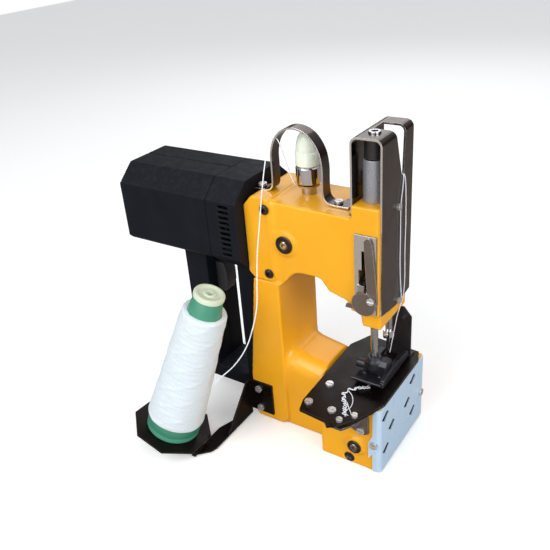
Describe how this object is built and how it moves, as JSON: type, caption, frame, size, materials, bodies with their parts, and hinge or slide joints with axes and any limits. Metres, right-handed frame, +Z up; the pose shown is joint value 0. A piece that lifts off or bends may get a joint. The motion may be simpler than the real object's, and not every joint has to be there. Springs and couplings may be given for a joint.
{
  "type": "bag closer sewing machine",
  "caption": "Hand-held portable machine that sews filled bags shut: motor with D-handle, arm, sewing head with presser foot and hood, flat throat plate and thread cone on a side tray.",
  "frame": {"origin": "on the resting plane under the base, in the machine's middle plane, level with the needle bar along X", "axes": "+X from the motor tail towards the sewing head, +Z up, so that +Y is the side away from the thread cone"},
  "size_m": [0.2546, 0.1733, 0.2816],
  "materials": {
    "amber_enamel": "glossy amber enamel over cast metal",
    "black_housing_plastic": "fine matte texture",
    "trigger_plastic": "satin",
    "bright_sheet_steel": "polished sheet",
    "lifter_steel": "polished",
    "cover_steel": "bright polished",
    "black_plate_steel": "satin black",
    "dark_guide_steel": "blackened",
    "black_foot_steel": "blackened cast steel",
    "grey_bracket_steel": "plain",
    "ground_steel": "ground",
    "tube_aluminium": "satin",
    "gear_steel": "oiled",
    "bronze": "machined",
    "pulley_aluminium": "machined",
    "belt_rubber": "matte",
    "stator_iron": "laminated",
    "moulded_black_plastic": "smooth",
    "chrome_plate": "mirror",
    "bright_screw_steel": "bright",
    "dark_screw_steel": "blackened",
    "milky_knob_plastic": "milky",
    "green_core_plastic": "moulded",
    "cream_cap_plastic": "moulded",
    "white_yarn": "wound yarn"
  },
  "bodies": {
    "frame": {"bag_guide_plate": "dark_guide_steel", "bar_bushes": "bronze", "bearing_end_caps": "dark_screw_steel", "carbon_brushes": "bronze", "coil_springs": "chrome_plate", "cone_tray_bracket": "black_plate_steel", "far_handle_shell": "black_housing_plastic", "feed_guide_rod": "ground_steel", "front_cover_plate": "cover_steel", "gear_case": "amber_enamel", "knife_bracket": "grey_bracket_steel", "lifter_slide_plate": "bright_sheet_steel", "main_casting": "amber_enamel", "motor_ball_bearings": "ground_steel", "motor_end_bracket": "moulded_black_plastic", "motor_front_housing": "black_housing_plastic", "motor_stator": "stator_iron", "near_handle_shell": "black_housing_plastic", "needle_guard_hood": "bright_sheet_steel", "pan_head_screws": "bright_screw_steel", "power_inlet": "moulded_black_plastic", "presser_spring_tube": "tube_aluminium", "sewing_thread": "white_yarn", "shaft_bushes": "bronze", "small_screws": "bright_screw_steel", "socket_screws": "dark_screw_steel", "tension_collar": "chrome_plate", "tension_discs": "bronze", "tension_stud": "ground_steel", "thread_hook_bracket": "bright_sheet_steel", "thread_hoop": "bright_sheet_steel", "thread_knife": "black_plate_steel", "throat_plate": "black_plate_steel", "timing_belt": "belt_rubber", "trigger_switch": "moulded_black_plastic"},
    "main_drive": {"main_shaft": "ground_steel", "drive_gear": "gear_steel", "upper_belt_pulley": "pulley_aluminium"},
    "motor_rotor": {"armature": "gear_steel", "cooling_fan": "tube_aluminium"},
    "lower_drive": {"lower_shaft": "ground_steel", "lower_belt_pulley": "pulley_aluminium", "looper": "ground_steel"},
    "crank_rod": {"connecting_rod": "ground_steel"},
    "needle_assembly": {"needle_bar": "ground_steel", "needle": "ground_steel", "needle_clamp": "chrome_plate"},
    "feed": {"feed_dog": "gear_steel"},
    "presser": {"presser_bar": "ground_steel", "presser_bar_guide_block": "ground_steel", "presser_foot_hub": "black_foot_steel"},
    "foot_sole": {"presser_foot_sole": "black_foot_steel"},
    "lifter": {"lifter_lever": "lifter_steel"},
    "trigger_body": {"trigger": "trigger_plastic"},
    "tension_adjuster": {"tension_knob": "milky_knob_plastic"},
    "pressure_adjuster": {"presser_regulator_cap": "moulded_black_plastic", "regulator_stem": "chrome_plate"},
    "cone": {"cone_core": "green_core_plastic", "thread_winding": "white_yarn", "cone_cap": "cream_cap_plastic"}
  },
  "joints": [
    {"name": "main_shaft_turn", "type": "hinge", "parent": "frame", "child": "main_drive", "pos_m": [-0.06, 0.008, 0.181], "axis": [1, 0, 0], "continuous": true},
    {"name": "armature_turn", "type": "hinge", "parent": "frame", "child": "motor_rotor", "pos_m": [-0.16, 0, 0.20149], "axis": [1, 0, 0], "continuous": true},
    {"name": "lower_shaft_turn", "type": "hinge", "parent": "frame", "child": "lower_drive", "pos_m": [-0.05, 0.008, 0.036], "axis": [1, 0, 0], "continuous": true},
    {"name": "connecting_rod_pivot", "type": "hinge", "parent": "main_drive", "child": "crank_rod", "pos_m": [-0.007, 0.018, 0.18668], "axis": [1, 0, 0], "continuous": true},
    {"name": "needle_bar_slide", "type": "slide", "parent": "frame", "child": "needle_assembly", "axis": [0, 0, 1], "range_m": [-0.016, 0.0087]},
    {"name": "feed_dog_slide", "type": "slide", "parent": "frame", "child": "feed", "axis": [0, 1, 0], "range_m": [-0.002, 0.002]},
    {"name": "presser_bar_slide", "type": "slide", "parent": "frame", "child": "presser", "axis": [0, 0, 1], "range_m": [0, 0.007]},
    {"name": "presser_foot_tilt", "type": "hinge", "parent": "presser", "child": "foot_sole", "pos_m": [0, -0.01, 0.0796], "axis": [1, 0, 0], "range_deg": [0, 5]},
    {"name": "lifter_lever_turn", "type": "hinge", "parent": "frame", "child": "lifter", "pos_m": [0.0073, -0.03, 0.157], "axis": [0, 1, 0], "range_deg": [0, 60]},
    {"name": "trigger_press", "type": "slide", "parent": "frame", "child": "trigger_body", "axis": [-1, 0, 0], "range_m": [0, 0.005], "stiffness_N_per_m": 300, "springref_m": -0.002},
    {"name": "tension_knob_turn", "type": "hinge", "parent": "frame", "child": "tension_adjuster", "pos_m": [-0.063, 0.003, 0.25], "axis": [0, 0, 1], "range_deg": [-180, 180]},
    {"name": "pressure_regulator_turn", "type": "hinge", "parent": "frame", "child": "pressure_adjuster", "pos_m": [0, -0.01, 0.27], "axis": [0, 0, 1], "range_deg": [-180, 180]},
    {"name": "thread_cone_turn", "type": "hinge", "parent": "frame", "child": "cone", "pos_m": [-0.1588, -0.0944, 0.0169], "axis": [0.3092, 0.1401, 0.9406], "continuous": true}
  ],
  "couplings": [
    {"joint": "armature_turn", "follows": "main_shaft_turn", "ratio": -4},
    {"joint": "lower_shaft_turn", "follows": "main_shaft_turn", "ratio": 1},
    {"joint": "connecting_rod_pivot", "follows": "main_shaft_turn", "ratio": -1},
    {"joint": "lifter_lever_turn", "follows": "presser_bar_slide", "rad_per_m": 149.5}
  ]
}
